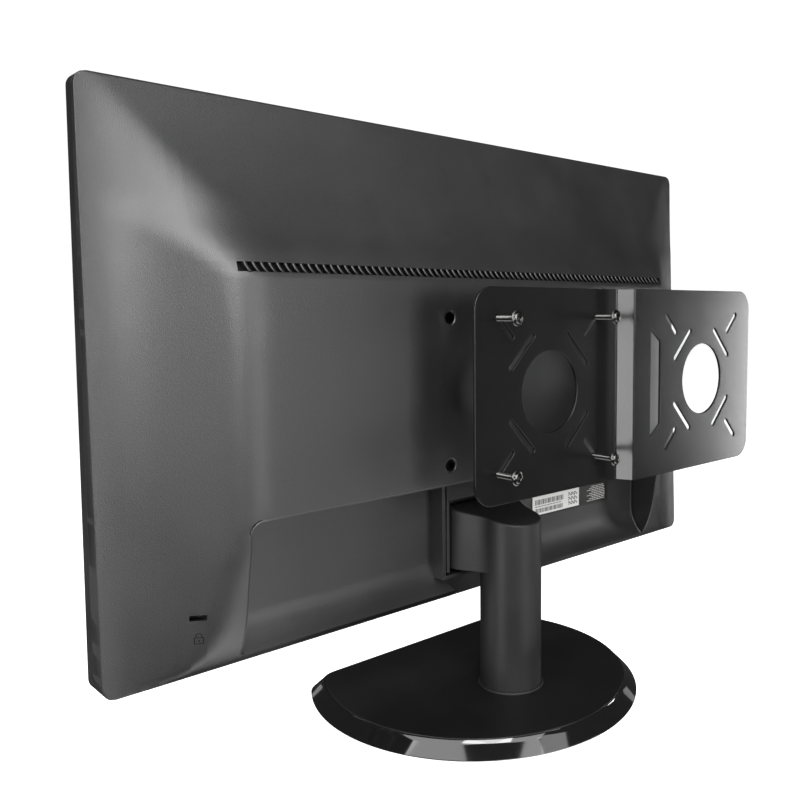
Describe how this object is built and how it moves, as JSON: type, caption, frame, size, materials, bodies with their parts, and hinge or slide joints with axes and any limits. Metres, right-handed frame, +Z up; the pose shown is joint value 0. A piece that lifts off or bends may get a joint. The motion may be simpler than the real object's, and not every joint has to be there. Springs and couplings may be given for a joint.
{
  "type": "flat-panel monitor with mini pc bracket",
  "caption": "Widescreen monitor on a tilting column stand with a D-shaped foot; a stepped steel mini pc bracket and its screws stand pulled off the square mounting holes on its back.",
  "frame": {"origin": "on the table, under the centre of the foot's outline (the bounding box's bottom centre)", "axes": "+Z up, +X along the screen's width, +Y out of the monitor's back; the screen faces -Y"},
  "size_m": [0.544, 0.196, 0.406],
  "materials": {
    "bezel_plastic": "fine-grained black moulding",
    "screen_glass": "anti-glare, switched off",
    "light_guide": "clear acrylic with white dots",
    "led_board": "white coated strip",
    "zinc_sheet": "zinc-plated sheet",
    "cover_plastic": "fine-grained charcoal moulding",
    "louvre_plastic": "black moulding",
    "nickel": "bright nickel",
    "tan_board": "phenolic board",
    "green_board": "solder-masked board",
    "brass": "turned",
    "zinc_steel": "zinc-plated",
    "black_parts": "taped and sleeved parts",
    "ribbon": "flat film cable",
    "socket_plastic": "black moulding",
    "port_shell": "tinned shell",
    "lens": "clear lens",
    "label_black": "printed film",
    "label_white": "printed paper",
    "frame_plastic": "fine-grained black moulding",
    "neck_plastic": "fine-grained charcoal moulding",
    "foot_gloss": "polished black",
    "foot_satin": "satin black",
    "foot_steel": "black-painted plate",
    "rubber": "soft pads",
    "bracket_paint": "fine-textured black powder coat",
    "key_plastic": "satin black"
  },
  "bodies": {
    "stand": {"neck_shell": "neck_plastic", "neck_core": "zinc_steel", "hinge_barrel": "zinc_steel", "neck_flange": "neck_plastic", "foot_trim": "foot_gloss", "foot_cover": "foot_satin", "foot_plate": "foot_steel", "rubber_feet": "rubber", "foot_screw": "zinc_steel"},
    "head": {"front_bezel": "bezel_plastic", "lcd_panel": "screen_glass", "light_guide": "light_guide", "led_bar": "led_board", "panel_pan": "zinc_sheet", "rear_cover": "cover_plastic", "vent_louvres": "louvre_plastic", "vesa_inserts": "nickel", "chassis_shield": "zinc_sheet", "power_board": "tan_board", "main_board": "green_board", "board_posts": "brass", "board_screws": "zinc_steel", "power_parts": "black_parts", "main_parts": "black_parts", "panel_ribbon": "ribbon", "ac_inlet": "socket_plastic", "vga_port": "port_shell", "dvi_port": "port_shell", "jack_screws": "zinc_steel", "lock_anchor": "zinc_steel", "keypad_board": "green_board", "power_led": "lens", "rating_label": "label_black", "serial_sticker": "label_white", "hinge_bracket": "zinc_steel", "hinge_pin": "zinc_steel", "hinge_washers": "zinc_steel", "pocket_frame": "frame_plastic"},
    "bracket": {"bracket_plate": "bracket_paint"},
    "screws": {"vesa_screws": "nickel"},
    "ring": {"d_ring": "zinc_steel"},
    "power_button": {"power_key": "key_plastic"},
    "menu_button": {"menu_key": "key_plastic"},
    "up_button": {"up_key": "key_plastic"},
    "down_button": {"down_key": "key_plastic"},
    "input_button": {"input_key": "key_plastic"}
  },
  "joints": [
    {"name": "head_tilt", "type": "hinge", "parent": "stand", "child": "head", "pos_m": [0, -0.023, 0.116], "axis": [-1, 0, 0], "range_deg": [-5, 20]},
    {"name": "bracket_slide", "type": "slide", "parent": "head", "child": "bracket", "axis": [0, 1, 0], "range_m": [-0.0433, 0]},
    {"name": "screw_slide", "type": "slide", "parent": "bracket", "child": "screws", "axis": [0, 1, 0], "range_m": [-0.016, 0]},
    {"name": "ring_fold", "type": "hinge", "parent": "stand", "child": "ring", "pos_m": [0, 0.0155, 0.0036], "axis": [1, 0, 0], "range_deg": [0, 90]},
    {"name": "power_press", "type": "slide", "parent": "head", "child": "power_button", "axis": [0, 1, 0], "range_m": [0, 0.0005], "stiffness_N_per_m": 400},
    {"name": "menu_press", "type": "slide", "parent": "head", "child": "menu_button", "axis": [0, 1, 0], "range_m": [0, 0.0005], "stiffness_N_per_m": 400},
    {"name": "up_press", "type": "slide", "parent": "head", "child": "up_button", "axis": [0, 1, 0], "range_m": [0, 0.0005], "stiffness_N_per_m": 400},
    {"name": "down_press", "type": "slide", "parent": "head", "child": "down_button", "axis": [0, 1, 0], "range_m": [0, 0.0005], "stiffness_N_per_m": 400},
    {"name": "input_press", "type": "slide", "parent": "head", "child": "input_button", "axis": [0, 1, 0], "range_m": [0, 0.0005], "stiffness_N_per_m": 400}
  ]
}
